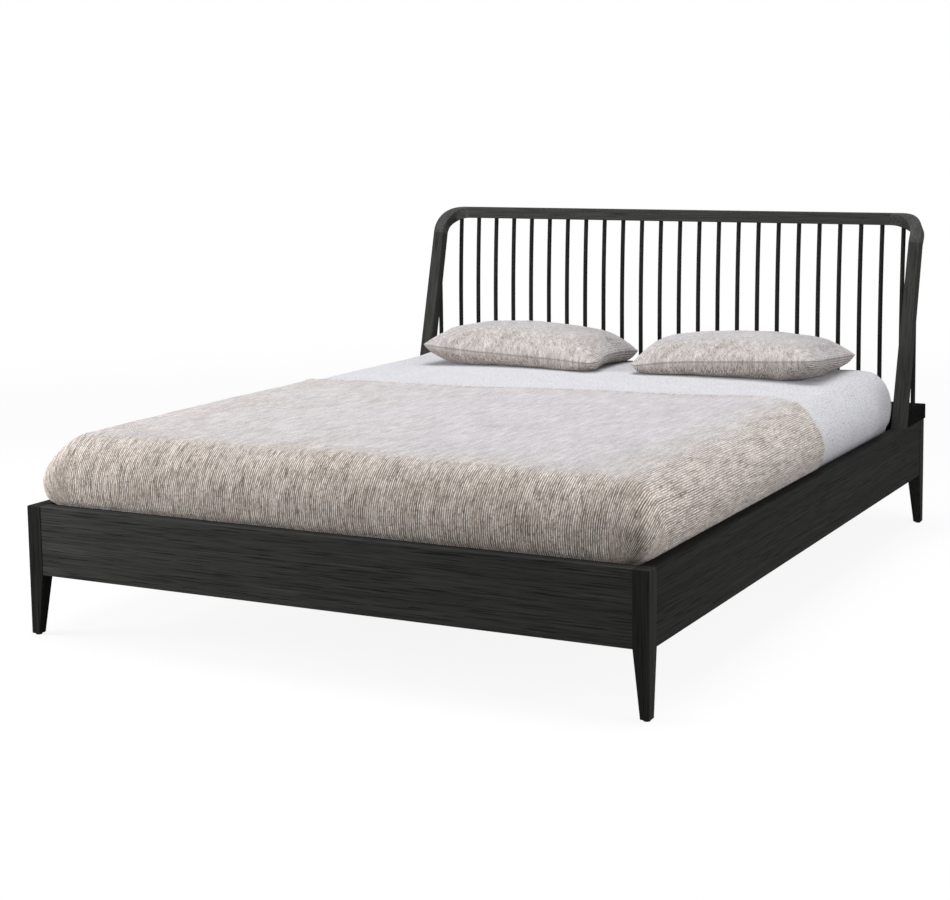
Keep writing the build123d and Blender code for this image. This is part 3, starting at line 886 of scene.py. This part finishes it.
def make_world():
    """An even pale studio, plain white to the camera and in reflections."""
    world = bpy.data.worlds.new("studio")
    bpy.context.scene.world = world
    world.use_nodes = True
    tree = world.node_tree
    light = tree.nodes["Background"]
    fill(tree, light, {"Color": (*white, 1), "Strength": studio_level})
    plain = add(tree, "ShaderNodeBackground", inputs={"Color": (*white, 1), "Strength": 1.0})
    blended(tree, seen_plainly(tree), light, plain, "World Output")


def make_lamp(name, place, aim, size, power):
    """A soft square lamp."""
    data = bpy.data.lights.new(name, "AREA")
    data.shape = "SQUARE"
    data.size = size
    data.energy = power
    turn = (Vector(aim) - Vector(place)).to_track_quat("-Z", "Y").to_matrix().to_4x4()
    show(name, data).matrix_world = Matrix.Translation(place) @ turn


def make_camera():
    """The camera, at the photograph's place."""
    forward = Vector((math.sin(camera_yaw) * math.cos(camera_pitch),
                      math.cos(camera_yaw) * math.cos(camera_pitch), -math.sin(camera_pitch)))
    level = Vector((math.cos(camera_yaw), -math.sin(camera_yaw), 0))
    above = level.cross(forward)
    right = level * math.cos(camera_roll) + above * math.sin(camera_roll)
    up = above * math.cos(camera_roll) - level * math.sin(camera_roll)
    data = bpy.data.cameras.new("camera")
    data.sensor_width = sensor_width
    data.lens = camera_focal_px / image_width_px * sensor_width
    data.shift_x = -camera_axis_px[0] / image_width_px
    data.shift_y = -camera_axis_px[1] / image_width_px
    data.clip_end = view_depth
    camera = show("camera", data)
    turn = Matrix((right, up, -forward)).transposed().to_4x4()
    camera.matrix_world = Matrix.Translation(camera_place) @ turn
    bpy.context.scene.camera = camera


# Assembly

def dress(nodes, made):
    """Gives CAD nodes a material."""
    for name in nodes:
        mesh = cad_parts[name].data
        mesh.materials.clear()
        mesh.materials.append(made)


def stand_for(piece, node, made):
    """Puts a piece in a node's place, with its material."""
    piece.data.materials.append(made)
    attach(piece, "root")
    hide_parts(node)


make_camera()
make_world()
make_floor()
for lamp in lamps:
    make_lamp(*lamp)

# The oak's groups: material, stretch along the grain, tone, turn of the grain, gloss and pieces. The tone
# is painted light and shade, set for each part to the light it catches: highest on the hoop corners as a
# painted highlight, lowest on the base and the left front leg as painted shade
spindles = [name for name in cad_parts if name.startswith("spindle")]
for name, stretch, painted_light_tone, turn, gloss, nodes in (
        ("oak_across", across, 1.65, straight, 0.006, ["foot_rail", "head_rail"]),
        ("oak_base", across, 0.4, straight, 0.0, ["headboard_base"]),
        ("oak_hoop_rail", across, 1.55, straight, 0.006, ["top_rail"]),
        ("oak_deep", deep, 0.75, straight, 0.006, ["side_rail_left", "side_rail_right"]),
        ("oak_leg_painted_shade", upright, 0.7, straight, 0.006, ["front_leg_left"]),
        ("oak_leg", upright, 0.95, straight, 0.006, ["front_leg_right", "rear_leg_left", "rear_leg_right"]),
        ("oak_spindle", upright, 0.75, straight, 0.006, spindles),
        ("oak_post", upright, 1.4, leaning, 0.003, ["hoop_post_left", "hoop_post_right"]),
        ("oak_corner", upright, 2.0, leaning, 0.01, ["hoop_corner_left", "hoop_corner_right"])):
    dress(nodes, black_oak(name, stretch, painted_light_tone, turn, gloss))
dress(["slats", "ledger_left", "ledger_right", "centre_beam", "centre_leg_front", "centre_leg_rear",
       "dowels"], plain_wood("pine"))
dress(["corner_plates", "hanger_bolts", "hanger_nuts", "plate_screws", "ledger_screws", "beam_stirrups"],
      dark_steel("coated_steel"))
dress(["floor_glides"], felt("felt"))

mattress = make_mattress()
stand_for(mattress, "mattress", ticking("mattress_ticking"))

sheet = make_sheet()
stand_for(sheet, "fitted_sheet", heathered_cotton("sheet_jersey"))

blanket = make_blanket()
stand_for(blanket, "blanket", melange_weave("blanket_weave", rib_pitch))

# The pillows' open ground is darkened further: painted shade on their undersides
pillow_weave = melange_weave("pillow_weave", pillow_rib_pitch, painted_shade_tone=0.6, shorter=4.0, seam_mark="seam")
for name, node, shape in (
        ("pillow_form_left", "pillow_left", dict(
            place=(-0.318, 0.686), turn=0.02, lifts=(0.032, -0.006, 0, -0.010),
            level=0.545, crown=0.090, lean=-0.5, thin=-0.1, seed=4.0)),
        ("pillow_form_right", "pillow_right", dict(
            place=(0.390, 0.714), turn=-0.03, lifts=(-0.022, 0.024, -0.015, -0.002),
            level=0.557, crown=0.074, lean=0.25, thin=0.25, seed=7.0))):
    pillow = make_pillow(name, **shape)
    stand_for(pillow, node, pillow_weave)
